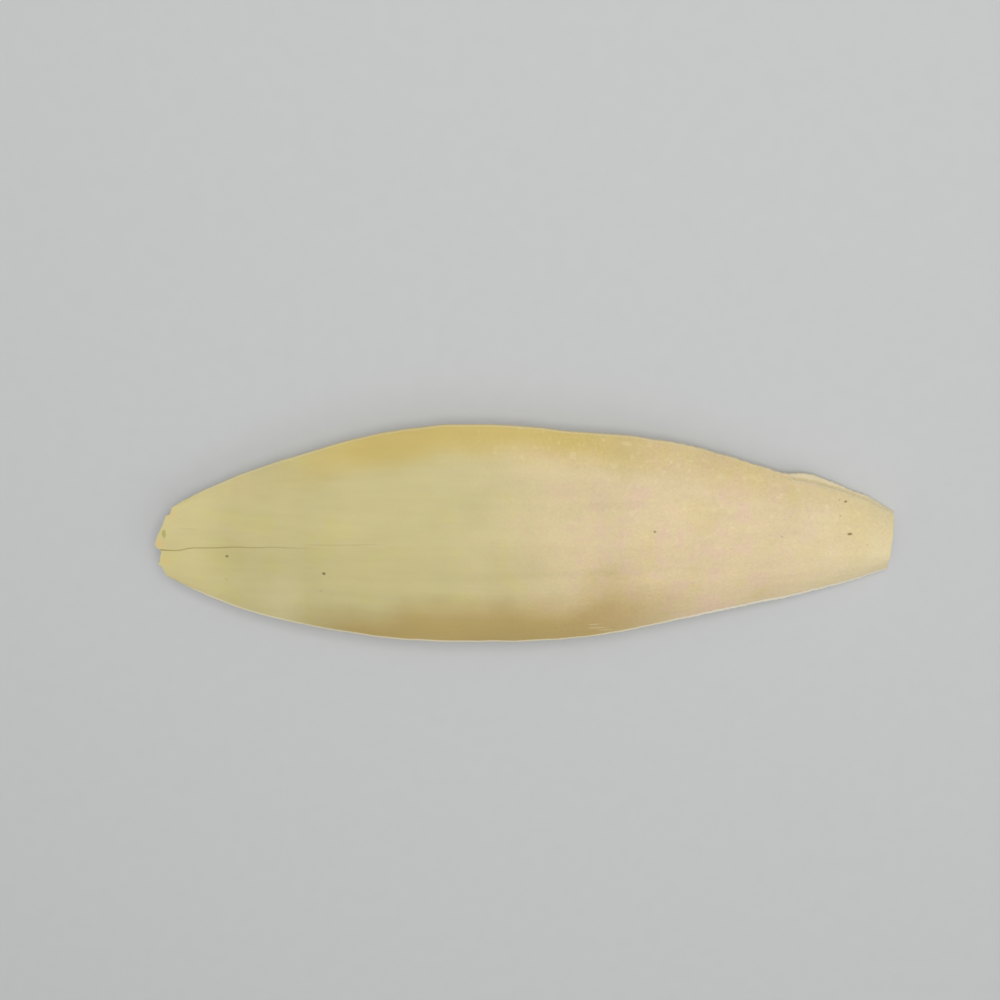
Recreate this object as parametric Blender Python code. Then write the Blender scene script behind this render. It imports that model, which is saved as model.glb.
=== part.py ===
"""A cuttlebone, the chalky inner shell of a cuttlefish, lying with its hard back up.

It grew as one piece, so it is one closed solid. A thin hard shield covers the back and ends in a
narrow flange all round. Under it hangs the soft body, smooth in front and stepped with growth
lines behind, with a shallow furrow down its middle. The front edge is chipped and cracked along
the middle, and the back end is broken off straight. Metres, +Z up, front end towards -X, back
end towards +X, left side towards +Y, with the origin under the middle of the bounding box.
"""

import math

import bpy
import numpy as np
from mathutils import Vector, noise

MM = 0.001

# Driving dimensions, in millimetres. Stations are counted from the foremost chip of the front end.
LENGTH = 160.0
FLANGE_WIDTH_FRONT = 0.8
FLANGE_WIDTH_BACK = 2.4
RIM_THICKNESS_FRONT = 0.9
RIM_THICKNESS_BACK = 1.6
ARCH_ROUNDNESS = 2.3
BELLY_ROUNDNESS = 3.0

# Edges of the outline, seen from above: (station, sideways place).
LEFT_EDGE = [
    (6.7, 6.5), (10, 8.2), (15.5, 10.65), (21, 12.95), (32, 16.55), (42.5, 19.75), (53, 22.0), (64, 23.15),
    (71, 23.2), (77, 22.95), (85, 22.1), (91, 21.4), (99, 20.85), (105.5, 19.95), (114, 18.35),
    (120.5, 16.4), (127, 14.45), (131.5, 12.88), (134.7, 11.8), (136.5, 11.6), (139.5, 11.6),
    (142, 10.95), (146, 9.35), (150, 7.6), (154, 6.0), (160, 2.5),
]
RIGHT_EDGE = [
    (3.3, -11.3), (8, -13.75), (14, -16.35), (20, -18.5), (31, -21.25), (42, -23.2), (53, -24.5),
    (69, -25.0), (85, -24.7), (96, -23.7), (107, -21.7), (118, -19.6), (129, -17.6), (140, -15.6),
    (150, -13.2), (159.4, -10.4),
]
MIDLINE = [
    (0, -4.4), (4.6, -4.2), (6.6, -3.75), (11.5, -3.35), (24, -2.7), (35, -2.4), (52, -1.8), (76, -1.3),
    (100, -1.3), (130, -2.4), (160, -3.9),
]

# Heights above the ground: the crest of the back, the outline's edge and the lowest line of the
# belly. The belly is rubbed flat where it would reach below the ground.
CREST_HEIGHT = [
    (0, 7.0), (14, 9.6), (30, 12.0), (52, 14.3), (76, 15.1), (98, 14.4), (122, 11.9), (142, 8.7), (160, 5.6),
]
EDGE_HEIGHT = [(0, 6.2), (30, 7.5), (68, 8.3), (108, 6.9), (134, 4.4), (150, 2.4), (160, 1.5)]
BELLY_HEIGHT = [
    (0, 6.1), (6, 5.2), (14, 3.6), (25, 1.7), (38, 0.0), (50, -0.8), (66, -0.8), (85, 0.2), (105, 1.4),
    (125, 2.4), (145, 2.8), (160, 2.4),
]

# The chipped front edge: (sideways place, how far it is set back from the foremost chip).
FRONT_CHIPS = [
    (-11.3, 3.3), (-10.7, 2.3), (-10.1, 1.7), (-8.8, 1.35), (-8.0, 0.9), (-7.6, 0.3), (-7.1, 0.7),
    (-4.8, 1.2), (-4.3, 1.0), (-3.9, 0.2), (-2.8, 0.0), (-1.9, 0.3), (1.9, 2.2), (3.2, 2.6), (3.5, 3.55),
    (4.9, 4.0), (6.5, 6.6),
]
FRONT_CHIP_REACH = 26.0
# The nearly straight break at the back: (share of the half width, how far it is set back).
BACK_BREAK = [
    (-1, 0.7), (-0.75, 1.3), (-0.54, 1.6), (-0.46, 1.35), (0, 1.4), (0.43, 1.0), (0.75, 0.6), (1, 0.0),
]
BACK_BREAK_REACH = 8.0

# The crack that starts at the front edge and runs down the middle of the back.
CRACK_LENGTH = 36.0
CRACK_DEPTH = 0.4
CRACK_HALF_WIDTH = 0.35

# The ledge where the shield has flaked off the left edge, near the back end: (station, width).
LEDGE_WIDTHS = [
    (0, 1.25), (128, 1.0), (134, 0.4), (139, 1.45), (142.5, 1.45), (146, 1.2), (150, 0.85), (155, 0.85),
    (160, 0.45),
]
LEDGE_START = 133.5
LEDGE_FULL = 136.5
LEDGE_DROP = 0.4

# The low middle ridge of the back and the shallow grooves beside it, both fading towards the back end.
RIDGE_RISE = 0.3
RIDGE_HALF_WIDTH = 2.6
RIDGE_FADE_START = 95.0
GROOVE_DROP = 0.25
GROOVE_PLACE = 0.33
GROOVE_HALF_WIDTH = 0.09

# The belly: its furrow, its growth steps, which lean forward in the middle, and the two low ridges
# that run into its back end.
FURROW_DEPTH = 0.9
FURROW_HALF_WIDTH = 4.0
GROWTH_STEPS = 32
GROWTH_START = 0.5
GROWTH_END = 0.975
GROWTH_STEP_HEIGHT = 0.35
GROWTH_LEAN = 20.0
GROWTH_DIP = 3.5
CONE_START = 116.0
CONE_FULL = 132.0
CONE_RISE = 0.55
CONE_PLACE = 0.68
CONE_HALF_WIDTH = 0.09

# Natural unevenness.
SWELL_HEIGHT = 0.22
SWELL_LENGTH = 17.0
EDGE_WANDER = 0.16
EDGE_WANDER_LENGTH = 5.0

# How finely the mesh follows the shape.
FRONT_ROWS = 29
COLUMN_SHARES = (0.1, 0.21, 0.33, 0.45, 0.57, 0.68, 0.79, 0.88)

SHELL_COLOUR = (0.64, 0.54, 0.29, 1.0)
SHELL_ROUGHNESS = 0.72
SHARP_ANGLE = math.radians(50)


def curve_through(stations):
    """A smooth function through hand-set points, sloped at each as the gaps beside it suggest."""
    at, value = np.array(stations, float).T
    gap = np.diff(at)
    slope = np.diff(value) / gap
    middle = (slope[:-1] * gap[1:] + slope[1:] * gap[:-1]) / (gap[:-1] + gap[1:])
    tangent = np.concatenate([slope[:1], middle, slope[-1:]])

    def value_at(place):
        i = np.clip(np.searchsorted(at, place, side="right") - 1, 0, len(gap) - 1)
        x = np.clip((place - at[i]) / gap[i], 0, 1)
        start = (1 + 2 * x) * (1 - x) ** 2 * value[i] + x * (1 - x) ** 2 * gap[i] * tangent[i]
        end = x * x * (3 - 2 * x) * value[i + 1] + x * x * (x - 1) * gap[i] * tangent[i + 1]
        return start + end

    return value_at


def smooth_step(low, high, x):
    """0 before low, 1 after high, and a smooth rise between them."""
    t = np.clip((x - low) / (high - low), 0, 1)
    return t * t * (3 - 2 * t)


def hump(x, half_width):
    """A rounded hump of height 1 centred on 0."""
    return np.exp(-((x / half_width) ** 2))


def wander(x, y, length, seed):
    """Smooth noise between about -1 and 1, with lumps about this long."""
    places = np.stack([x / length, y / length, np.full_like(x, seed)], axis=-1)
    values = [noise.noise(Vector(place)) for place in places.reshape(-1, 3)]
    return np.array(values).reshape(x.shape)


left_edge = curve_through(LEFT_EDGE)
right_edge = curve_through(RIGHT_EDGE)
midline = curve_through(MIDLINE)
crest_height = curve_through(CREST_HEIGHT)
edge_height = curve_through(EDGE_HEIGHT)
belly_height = curve_through(BELLY_HEIGHT)
ledge_width = curve_through(LEDGE_WIDTHS)


def front_set_back(y):
    """How far the chipped front edge lies behind the foremost chip, by sideways place."""
    return np.interp(y, *np.array(FRONT_CHIPS).T)


def back_set_back(side_share):
    """How far the broken back edge lies before the rearmost point, by share of the half width."""
    return np.interp(side_share, *np.array(BACK_BREAK).T)


def row_shares():
    """Shares of the length where the mesh has a row: closer at the front, then two to a growth step."""
    front = GROWTH_START * (np.arange(FRONT_ROWS) / FRONT_ROWS) ** 1.25
    step = (GROWTH_END - GROWTH_START) / GROWTH_STEPS
    starts = GROWTH_START + step * np.arange(GROWTH_STEPS)
    steps = np.stack([starts + 0.12 * step, starts + 0.88 * step], axis=1).ravel()
    return np.concatenate([front, steps, [GROWTH_END, 1]])


def ledge_in(station, half_width):
    """How wide the ledge's column is, no more than a small share of the half width."""
    return np.minimum(ledge_width(station), 0.12 * half_width)


def column_shares(station, half_width):
    """Shares of the half width, from 0 at the midline to 1 at the edge, for each row."""
    ledge = ledge_in(station, half_width)
    lip = np.minimum(CRACK_HALF_WIDTH, 0.05 * half_width)
    body = half_width - 1.3 * ledge
    inner = [share * body for share in COLUMN_SHARES]
    across = [0 * half_width, lip, *inner, body, half_width - ledge, half_width]
    return np.stack(across, axis=1) / half_width[:, None]


def side_grid(share, sign, edge, corner):
    """One side of the outline's grid from the midline out: x, y, share of the half width, half width."""
    station = LENGTH * share
    chip_fade = np.clip(1 - station / FRONT_CHIP_REACH, 0, 1) ** 2
    break_fade = np.clip(1 - (LENGTH - station) / BACK_BREAK_REACH, 0, 1)
    edge_x = station + chip_fade * front_set_back(corner) - break_fade * back_set_back(sign)
    edge_y = edge(edge_x) + EDGE_WANDER * wander(edge_x, 0 * edge_x, EDGE_WANDER_LENGTH, 3.1 * sign)
    half_width = np.abs(edge_y - midline(station))
    t = column_shares(station, half_width)
    per_row = (station, chip_fade, break_fade, half_width)
    station, chip_fade, break_fade, half_width = (values[:, None] for values in per_row)
    front_y = MIDLINE[0][1] + (corner - MIDLINE[0][1]) * t
    x = station + chip_fade * front_set_back(front_y) - break_fade * back_set_back(sign * t)
    y = midline(station) + sign * half_width * t
    return x, y, t, half_width + 0 * t


def outline_grid(share):
    """The whole outline's grid, from its right edge to its left edge."""
    right = side_grid(share, -1, right_edge, RIGHT_EDGE[0][1])
    left = side_grid(share, 1, left_edge, LEFT_EDGE[0][1])
    return [np.concatenate([r[:, :0:-1], lft], axis=1) for r, lft in zip(right, left)]


def back_surface(x, y, t, half_width):
    """Height of the hard back, without its ledge."""
    edge = edge_height(x)
    z = edge + (crest_height(x) - edge) * (1 - t**ARCH_ROUNDNESS)
    fade = 1 - smooth_step(RIDGE_FADE_START, LENGTH, x)
    z = z + RIDGE_RISE * hump(y - midline(x), RIDGE_HALF_WIDTH) * smooth_step(0, 40, x) * fade
    z = z - GROOVE_DROP * hump(t - GROOVE_PLACE, GROOVE_HALF_WIDTH) * smooth_step(10, 60, x) * fade
    return z - CRACK_DEPTH * smooth_step(CRACK_LENGTH, 0.2 * CRACK_LENGTH, x) * (t < 1e-9)


def ledge_drop(station, t, half_width, sign):
    """How far the back steps down on the ledge along its left edge."""
    on_ledge = (sign > 0) & ((1 - t) * half_width < ledge_in(station, half_width) + 1e-6)
    return LEDGE_DROP * smooth_step(LEDGE_START, LEDGE_FULL, station) * on_ledge


def belly_surface(x, y, t, half_width, share):
    """Height of the soft underside, with its furrow, growth steps and ridges."""
    along = x / LENGTH
    rim = RIM_THICKNESS_FRONT + (RIM_THICKNESS_BACK - RIM_THICKNESS_FRONT) * along**2
    flange = FLANGE_WIDTH_FRONT + (FLANGE_WIDTH_BACK - FLANGE_WIDTH_FRONT) * smooth_step(0, 0.6, along)
    flange = np.minimum(flange, 0.3 * half_width)
    body_share = t * half_width / (half_width - flange)
    inside = np.clip(1 - body_share, 0, 1)
    on_body = smooth_step(0, 0.25, inside)
    under_rim = edge_height(x) - rim
    z = under_rim - (under_rim - belly_height(x)) * (1 - (1 - inside) ** BELLY_ROUNDNESS)
    z = z + FURROW_DEPTH * hump(y - midline(x), FURROW_HALF_WIDTH) * smooth_step(6, 40, x) * on_body
    step_phase = np.mod((share - GROWTH_START) / (GROWTH_END - GROWTH_START) * GROWTH_STEPS, 1)
    is_stepped = (share > GROWTH_START) & (share < GROWTH_END)
    z = z + GROWTH_STEP_HEIGHT * (0.5 - step_phase) * on_body * is_stepped
    cone = hump(body_share - CONE_PLACE, CONE_HALF_WIDTH) * smooth_step(CONE_START, CONE_FULL, x)
    return z - CONE_RISE * cone


def belly_grid(share, x, y, t, half_width, sign):
    """The outline's grid with its rows bent forward along the growth lines, for the belly."""
    leaning = smooth_step(0, 0.42, share) * smooth_step(1, 0.8, share)
    lean = GROWTH_LEAN * np.cos(0.5 * math.pi * t) - GROWTH_DIP * hump(y - midline(x), FURROW_HALF_WIDTH)
    bent_x = x - lean * leaning
    bent_width = np.where(sign > 0, left_edge(bent_x), -right_edge(bent_x)) - sign * midline(bent_x)
    bent = smooth_step(0, FRONT_CHIP_REACH, LENGTH * share)
    bent_width = half_width + (bent_width - half_width) * bent
    bent_y = y + (midline(bent_x) + sign * bent_width * t - y) * bent
    at_rim = t > 1 - 1e-9
    return np.where(at_rim, x, bent_x), np.where(at_rim, y, bent_y), bent_width


def surfaces():
    """Points of the back and of the belly, each as rows by columns by 3, in millimetres."""
    share = row_shares()
    x, y, t, half_width = outline_grid(share)
    share = share[:, None] + 0 * x
    sign = np.where(np.arange(t.shape[1]) < t.shape[1] // 2, -1, 1) + 0 * t
    swell = SWELL_HEIGHT * wander(x, y, SWELL_LENGTH, 0.4)
    crest = back_surface(x, y, t, half_width) - ledge_drop(LENGTH * share, t, half_width, sign) + swell
    back = np.stack([x, y, crest], axis=-1)
    x, y, half_width = belly_grid(share, x, y, t, half_width, sign)
    z = belly_surface(x, y, t, half_width, share) + 0.5 * swell * (t < 0.95)
    belly = np.stack([x, y, np.maximum(z, 0)], axis=-1)
    return back, belly


def closed_faces(n_rows, n_columns):
    """Quads of the back, of the belly, and of the wall that joins their borders."""
    index = np.arange(n_rows * n_columns).reshape(n_rows, n_columns)
    under = index + index.size
    tiles = np.stack([index[:-1, :-1], index[1:, :-1], index[1:, 1:], index[:-1, 1:]], axis=-1).reshape(-1, 4)
    faces = [tiles, (tiles + index.size)[:, ::-1]]
    borders = [(index[:, 0], under[:, 0]), (index[-1], under[-1])]
    borders += [(index[::-1, -1], under[::-1, -1]), (index[0, ::-1], under[0, ::-1])]
    for top, bottom in borders:
        faces.append(np.stack([top[:-1], bottom[:-1], bottom[1:], top[1:]], axis=-1))
    return np.concatenate(faces)


def shell_material():
    material = bpy.data.materials.new("cuttlebone")
    material.use_nodes = True
    shader = material.node_tree.nodes["Principled BSDF"]
    shader.inputs["Base Color"].default_value = SHELL_COLOUR
    shader.inputs["Roughness"].default_value = SHELL_ROUGHNESS
    shader.inputs["Metallic"].default_value = 0.0
    return material


def cuttlebone():
    """The whole bone, centred over the origin and standing on the ground."""
    back, belly = surfaces()
    points = np.concatenate([back.reshape(-1, 3), belly.reshape(-1, 3)])
    low, high = points.min(axis=0), points.max(axis=0)
    points = points - [(low[0] + high[0]) / 2, (low[1] + high[1]) / 2, low[2]]
    mesh = bpy.data.meshes.new("cuttlebone")
    mesh.from_pydata((points * MM).tolist(), [], closed_faces(*back.shape[:2]).tolist())
    mesh.materials.append(shell_material())
    mesh.shade_smooth()
    mesh.set_sharp_from_angle(angle=SHARP_ANGLE)
    bone = bpy.data.objects.new("cuttlebone", mesh)
    bpy.context.scene.collection.objects.link(bone)


def main():
    for obj in list(bpy.data.objects):
        bpy.data.objects.remove(obj)
    cuttlebone()


main()
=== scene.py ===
"""The looks of a cuttlebone: one closed shell of fine mesh with a hard granular back and a chalky belly.

The shell follows the same outline, heights and thickness as its CAD solid. Geometry Nodes raise its
growth lines, granules and streaks, and two procedural materials finish it: the hard back with its
crack, specks and pale rim, and the chalky body with its layers.
"""

import math

import bpy
import numpy as np
from bpy.props import FloatProperty, FloatVectorProperty, IntProperty, PointerProperty
from mathutils import Matrix, Vector, noise


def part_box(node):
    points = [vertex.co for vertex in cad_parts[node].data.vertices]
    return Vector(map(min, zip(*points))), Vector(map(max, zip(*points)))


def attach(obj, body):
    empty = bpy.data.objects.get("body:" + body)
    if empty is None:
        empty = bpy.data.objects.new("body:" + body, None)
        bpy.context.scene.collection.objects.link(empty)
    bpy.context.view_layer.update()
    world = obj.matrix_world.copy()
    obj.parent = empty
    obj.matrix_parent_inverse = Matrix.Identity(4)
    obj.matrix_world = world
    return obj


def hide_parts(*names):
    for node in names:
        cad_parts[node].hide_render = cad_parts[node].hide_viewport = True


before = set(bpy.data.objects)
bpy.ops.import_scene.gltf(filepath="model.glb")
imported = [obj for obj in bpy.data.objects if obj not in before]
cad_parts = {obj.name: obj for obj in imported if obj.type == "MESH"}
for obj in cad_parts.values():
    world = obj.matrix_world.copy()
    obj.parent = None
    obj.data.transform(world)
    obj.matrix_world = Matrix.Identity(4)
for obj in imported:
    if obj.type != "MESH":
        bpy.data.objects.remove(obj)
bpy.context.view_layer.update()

bl_info = {
    "name": "Cuttlebone",
    "version": (1, 0, 0),
    "blender": (4, 5, 0),
    "location": "3D View > Sidebar > Cuttlebone",
    "description": "Makes a cuttlebone with a granular back and a chalky, layered belly",
    "category": "Add Mesh",
}

MM = 0.001
BONE_NODE = "cuttlebone"
BONE_BODY = "root"

# Shape, in millimetres. Stations are counted from the foremost chip of the front end. A span gives
# where a smooth change starts and where it is full, so a falling one goes from high to low.
LENGTH = 160.0
FLANGE_WIDTH_FRONT = 0.8
FLANGE_WIDTH_BACK = 2.4
RIM_THICKNESS_FRONT = 0.9
RIM_THICKNESS_BACK = 1.6
ARCH_ROUNDNESS = 2.3
BELLY_ROUNDNESS = 3.0
RIM_ROUNDING = 0.28
# Shares of the length over which the flange widens, the most of the half width that it takes, and
# shares of the way in from the body's edge over which its relief comes in and its chalk begins.
FLANGE_SPAN = (0, 0.6)
FLANGE_MOST = 0.3
BODY_SPAN = (0, 0.25)
CHALK_SPAN = (0, 0.03)

# Edges of the outline, seen from above: (station, sideways place).
LEFT_EDGE = [
    (6.7, 6.5), (10, 8.2), (15.5, 10.65), (21, 12.95), (32, 16.55), (42.5, 19.75), (53, 22.0), (64, 23.15),
    (71, 23.2), (77, 22.95), (85, 22.1), (91, 21.4), (99, 20.85), (105.5, 19.95), (114, 18.35),
    (120.5, 16.4), (127, 14.45), (131.5, 12.88), (134.7, 11.8), (136.5, 11.6), (139.5, 11.6),
    (142, 10.95), (146, 9.35), (150, 7.6), (154, 6.0), (160, 2.5),
]
RIGHT_EDGE = [
    (3.3, -11.3), (8, -13.75), (14, -16.35), (20, -18.5), (31, -21.25), (42, -23.2), (53, -24.5),
    (69, -25.0), (85, -24.7), (96, -23.7), (107, -21.7), (118, -19.6), (129, -17.6), (140, -15.6),
    (150, -13.2), (159.4, -10.4),
]
MIDLINE = [
    (0, -4.4), (4.6, -4.2), (6.6, -3.75), (11.5, -3.35), (24, -2.7), (35, -2.4), (52, -1.8), (76, -1.3),
    (100, -1.3), (130, -2.4), (160, -3.9),
]

# Heights above the ground: the crest of the back, the outline's edge and the lowest line of the
# belly. The belly is rubbed flat where it would reach below the ground.
CREST_HEIGHT = [
    (0, 7.0), (14, 9.6), (30, 12.0), (52, 14.3), (76, 15.1), (98, 14.4), (122, 11.9), (142, 8.7), (160, 5.6),
]
EDGE_HEIGHT = [(0, 6.2), (30, 7.5), (68, 8.3), (108, 6.9), (134, 4.4), (150, 2.4), (160, 1.5)]
BELLY_HEIGHT = [
    (0, 6.1), (6, 5.2), (14, 3.6), (25, 1.7), (38, 0.0), (50, -0.8), (66, -0.8), (85, 0.2), (105, 1.4),
    (125, 2.4), (145, 2.8), (160, 2.4),
]

# The chipped front edge: (sideways place, how far it is set back from the foremost chip).
FRONT_CHIPS = [
    (-11.3, 3.3), (-10.7, 2.3), (-10.1, 1.7), (-8.8, 1.35), (-8.0, 0.9), (-7.6, 0.3), (-7.1, 0.7),
    (-4.8, 1.2), (-4.3, 1.0), (-3.9, 0.2), (-2.8, 0.0), (-1.9, 0.3), (1.9, 2.2), (3.2, 2.6), (3.5, 3.55),
    (4.9, 4.0), (6.5, 6.6),
]
FRONT_CHIP_REACH = 26.0
FRONT_NICK = 0.1
FRONT_NICK_LENGTH = 0.9
# The nearly straight break at the back: (share of the half width, how far it is set back).
BACK_BREAK = [
    (-1, 0.7), (-0.75, 1.3), (-0.54, 1.6), (-0.46, 1.35), (0, 1.4), (0.43, 1.0), (0.75, 0.6), (1, 0.0),
]
BACK_BREAK_REACH = 8.0
BREAK_ROUGHNESS = 0.15
BREAK_ROUGHNESS_MOST = 0.2
BREAK_LUMP = 0.9
LAYER_SPACING = 0.5
LAYER_LENGTH = 5.0

# The crack that starts at the front edge and runs down the middle of the back, and the faint line
# that goes on beside its end.
CRACK_LENGTH = 36.0
CRACK_DEPTH = 0.16
CRACK_HALF_WIDTH = 0.13
CRACK_DEPTH_SPAN = (CRACK_LENGTH, 0.2 * CRACK_LENGTH)
CRACK_WAVE = 0.12
CRACK_WAVE_LENGTH = 4.0
CRACK_WAVE_SPAN = (60, 40)
FAINT_LINE_ASIDE = 0.75

# The ledge where the shield has flaked off the left edge, near the back end: (station, width).
LEDGE_WIDTHS = [
    (0, 1.25), (128, 1.0), (134, 0.4), (139, 1.45), (142.5, 1.45), (146, 1.2), (150, 0.85), (155, 0.85),
    (160, 0.45),
]
LEDGE_START = 133.5
LEDGE_FULL = 136.5
LEDGE_DROP = 0.4
LEDGE_STEP = 0.07

# The low middle ridge of the back and the shallow grooves beside it, both fading towards the back end.
RIDGE_RISE = 0.3
RIDGE_HALF_WIDTH = 2.6
RIDGE_SPAN = (0, 40)
RIDGE_FADE_START = 95.0
GROOVE_DROP = 0.25
GROOVE_PLACE = 0.33
GROOVE_HALF_WIDTH = 0.09
GROOVE_SPAN = (10, 60)

# The belly: its furrow, its growth lines, which lean forward in the middle, and the two low ridges
# that run into its back end.
FURROW_DEPTH = 0.9
FURROW_HALF_WIDTH = 4.0
FURROW_SPAN = (6, 40)
GROWTH_START = 0.5
GROWTH_END = 0.975
LINES_PER_STEP = 3
LINE_UNEVENNESS = 0.35
GROWTH_LEAN = 20.0
GROWTH_DIP = 3.5
LEAN_RISE = (0, 0.42)
LEAN_FALL = (1, 0.8)
LEAN_RIM_SPAN = (0.9, 1)
CONE_SPAN = (116, 132)
CONE_RISE = 0.55
CONE_PLACE = 0.68
CONE_HALF_WIDTH = 0.09
RUBBED_HEIGHT = 0.6

# Natural unevenness. The slices are where in the noise each kind of it is read.
SWELL_HEIGHT = 0.22
SWELL_LENGTH = 17.0
BELLY_SWELL_SHARE = 0.5
BELLY_SWELL_END = 0.95
EDGE_WANDER = 0.16
EDGE_WANDER_LENGTH = 5.0
EDGE_NICK_LENGTH = 0.9
EDGE_NICK_FRONT = 0.04
EDGE_NICK_SPAN = (96, 128)
SWELL_SLICE = 0.4
EDGE_SLICE = 3.1
NICK_SLICE = 7.7
FRONT_NICK_SLICE = 4.4
CRACK_SLICE = 5.5
LUMP_SLICE = 2.2
LAYER_SLICE = 8.1
GROWTH_SEED = 4
RELIEF_SEED = 3.0

# How finely the mesh follows the shape. The rim columns are distances from the outline, and the
# strip columns are shares of the way from the rim's rounding to the ledge's step.
FRONT_ROWS = 98
FRONT_CROWDING = 1.15
REAR_ROWS = 5
LINE_ROWS = (0.1, 0.5, 0.9)
MIDDLE_COLUMNS = (0.0, 0.07, 0.13, 0.3)
BODY_COLUMNS = 37
STRIP_COLUMNS = (0.62, 0.25)
RIM_COLUMNS = (0.28, 0.16, 0.07, 0.02, 0.0)
FULL_HALF_WIDTH = 8.0
WALL_RINGS = 7
SHARP_ANGLE = math.radians(48)
# What a distance from the ledge's step says where there is no ledge, and what counts as no distance.
FAR = 9.0
TOUCHING = 1e-6

# Specks on the back: (station, sideways place, half length, half width, strength).
FRONT_SPECKS = [
    (15.9, -5.0, 0.34, 0.26, 0.6),
    (36.8, -8.1, 0.36, 0.28, 0.75),
    (15.4, -10.4, 0.4, 0.3, 0.1),
    (35.9, -12.1, 0.4, 0.3, 0.12),
    (7.5, 0.6, 2.0, 0.16, 0.07),
]
REAR_SPECKS = [
    (106.6, 1.4, 0.3, 0.24, 0.6),
    (149.1, -0.79, 0.52, 0.24, 0.75),
    (148.4, 5.75, 0.36, 0.2, 0.6),
    (147.0, 6.2, 0.24, 0.18, 0.25),
    (134.0, -0.7, 0.28, 0.2, 0.25),
    (123.0, -2.8, 0.45, 0.18, 0.15),
    (147.0, 3.05, 0.3, 0.18, 0.3),
    (153.1, -3.4, 0.3, 0.16, 0.2),
]
# Soft patches and pale growth streaks of the back, given the same way.
GOLDEN_PATCHES = [
    (18.5, 10.0, 5.5, 3.0, 0.4),
    (104.5, -3.0, 3.5, 5.0, 0.5),
    (150.0, -1.5, 4.5, 6.0, 0.5),
    (126.5, 9.5, 5.0, 2.5, 0.35),
]
PALE_PATCHES = [
    (27.5, -14.0, 5.0, 5.2, 0.42),
    (158.5, 4.0, 3.0, 5.0, 0.45),
]
ROSY_PATCHES = [
    (98.0, -18.0, 5.0, 3.0, 0.45),
]
GROWTH_STREAKS = [
    (94.3, -20.3, 1.2, 0.17, 0.3),
    (95.2, -21.3, 1.9, 0.18, 0.3),
    (97.2, -22.0, 1.6, 0.16, 0.3),
]
OLIVE_PATCHES = [
    (15.5, -5.0, 5.0, 4.5, 0.5),
]
# The tan patch is mostly the bone's own tint and partly a painted cast shadow.
TAN_AND_SHADOW_PATCHES = [
    (98.0, -11.5, 7.5, 7.0, 0.4),
]
WARM_TINTS = [
    (0.9, -3.0, 1.3, 1.3, 0.55),
    (3.9, 3.5, 1.0, 1.5, 0.35),
    (2.4, -6.6, 1.2, 1.5, 0.3),
]
STAINS = [
    (2.1, -0.8, 0.42, 0.85, 0.75),
]
# How hard the edge of a spot is: specks and streaks have a hard one, patches a soft one. All fade out
# at the same value, and noise makes them ragged.
SPECK_CORE = 0.5
SOFT_CORE = -0.5
SPOT_EDGE = 1.7
SPOT_RAGGEDNESS = 1.6

# The raised relief, in metres: where the granules take over from the streaks along the frame's x,
# and the lumps of the noises that vary the growth lines and make the streaks.
GRANULE_SPAN = (-0.02, 0.035)
LINE_LUMP = 0.006
RAISED_STREAK_LUMP = 0.0022
RAISED_STREAK_STRETCH = (0.04, 1, 1)

# The noises of the back's finish: lumps in metres, and how much fine detail they hold.
BLOTCH_LUMP = 0.014
GOLD_LUMP = 0.0075
MOTTLE_LUMP = 0.0042
WART_LUMP = 0.0019
STREAK_LUMP = 0.0016
STREAK_STRETCH = (0.05, 1, 1)
PORE_SPACING = 0.0016
GRAIN_LUMP = 0.0007
GRAIN_SHARPNESS = 0.65
DUST_LUMP = 0.00028
FINE_DETAIL = 3.0
PLAIN_DETAIL = 1.0

# Colours of the back that the settings don't hold.
PINK_FRONT = (0.66, 0.55, 0.28)
PINK_REAR = (0.80, 0.60, 0.42)
GOLD_FRONT = (0.65, 0.58, 0.22)
GOLD_REAR = (0.76, 0.62, 0.30)
GOLDEN_PATCH = (0.78, 0.63, 0.30)
PALE_PATCH = (0.80, 0.70, 0.44)
ROSY_PATCH = (0.64, 0.42, 0.21)
OLIVE_PATCH = (0.62, 0.55, 0.20)
WARM_TINT = (0.76, 0.52, 0.22)
STAIN = (0.42, 0.40, 0.12)
WART = (0.88, 0.76, 0.46)
PORE = (0.50, 0.35, 0.18)
# The rear rim's paler colour is partly a painted highlight along the edge.
REAR_RIM_AND_HIGHLIGHT = (0.92, 0.86, 0.70)

# Parts of the back: the stations over which its rear, its pale end and the rear of its right side
# begin, and the distances from the midline over which its left side does.
REAR_SPAN = (54, 106)
REAR_RAGGEDNESS = 26
END_SPAN = (128, 156)
END_STRENGTH = 0.75
REAR_RIGHT_SPAN = (92, 130)
LEFT_SPAN = (-3, 3)

# Mottling, warts and pores: spans of their noises, and strengths. Two strengths, here and below,
# are for the smooth front and for the rear.
PINK_SPAN = (0.5, 0.64)
PINK_STRENGTHS = (0.2, 0.8)
GOLD_SPAN = (0.54, 0.68)
GOLD_STRENGTH = 0.45
WART_SPAN = (0.6, 0.72)
WART_STRENGTH = 0.3
PORE_SIDES = (0.13, 0.05)
PORE_CLUSTERS = (0.45, 0.62)
PORE_STRENGTH = 0.3

# Warm margins, partly their own tint and partly painted shade: reaches are distances from the outline, and
# rises, falls and losses go by station.
MARGIN_RAGGEDNESS = 6
AMBER_REACH = (9, 2.5)
AMBER_RISE = (22, 46)
AMBER_AND_SHADE_STRENGTH = 0.85
AMBER_LOSSES = (((88, 112), 0.5), ((120, 140), 0.15))
TAN_REACH = 9
TAN_WIDENING = 5
TAN_WIDENING_SPAN = (46, 58)
TAN_RISE = (26, 46)
TAN_FALL = (122, 92)
TAN_AND_SHADE_STRENGTH = 0.88
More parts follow.
